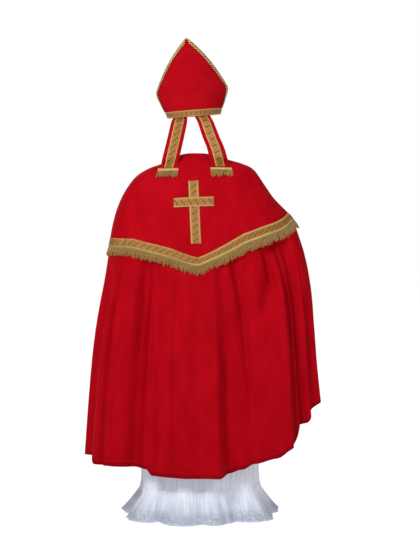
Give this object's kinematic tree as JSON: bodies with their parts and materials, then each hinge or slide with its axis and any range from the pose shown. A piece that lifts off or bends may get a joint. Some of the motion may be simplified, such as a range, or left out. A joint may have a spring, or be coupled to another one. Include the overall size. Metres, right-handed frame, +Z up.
{
  "type": "saint nicholas costume",
  "caption": "Bishop's costume as worn: pointed mitre with lappets, long red cope under a pointed capelet with braid and fringe, and a white alb with a lace hem.",
  "frame": {"origin": "where the neck meets the shoulders, inside the neckline, as the wearer holds it", "axes": "+Z up, the front faces -Y, the raised right side is at -X"},
  "size_m": [0.9722, 0.5625, 1.9811],
  "materials": {
    "red_satin": "soft satin velour",
    "red_felt": "matt felt",
    "white_cloth": "thin crinkled cloth and lace",
    "gold_braid": "woven metallic braid and rayon fringe"
  },
  "bodies": {
    "root": {"cope_left": "red_satin", "cope_right": "red_satin", "capelet": "red_satin", "capelet_braid": "gold_braid", "capelet_fringe": "gold_braid", "cross_upright": "gold_braid", "cross_bar": "gold_braid", "alb_back": "white_cloth", "alb_front": "white_cloth", "alb_lace": "white_cloth", "alb_sleeve_left": "white_cloth", "alb_sleeve_right": "white_cloth", "cuff_braid_left": "gold_braid", "cuff_braid_right": "gold_braid", "mitre_back": "red_felt", "mitre_front": "red_felt", "mitre_edge_back": "gold_braid", "mitre_edge_front": "gold_braid", "mitre_band": "gold_braid", "lappet_left": "red_felt", "lappet_right": "red_felt", "lappet_braid_left": "gold_braid", "lappet_braid_right": "gold_braid", "lappet_fringe_left": "gold_braid", "lappet_fringe_right": "gold_braid"}
  },
  "joints": []
}
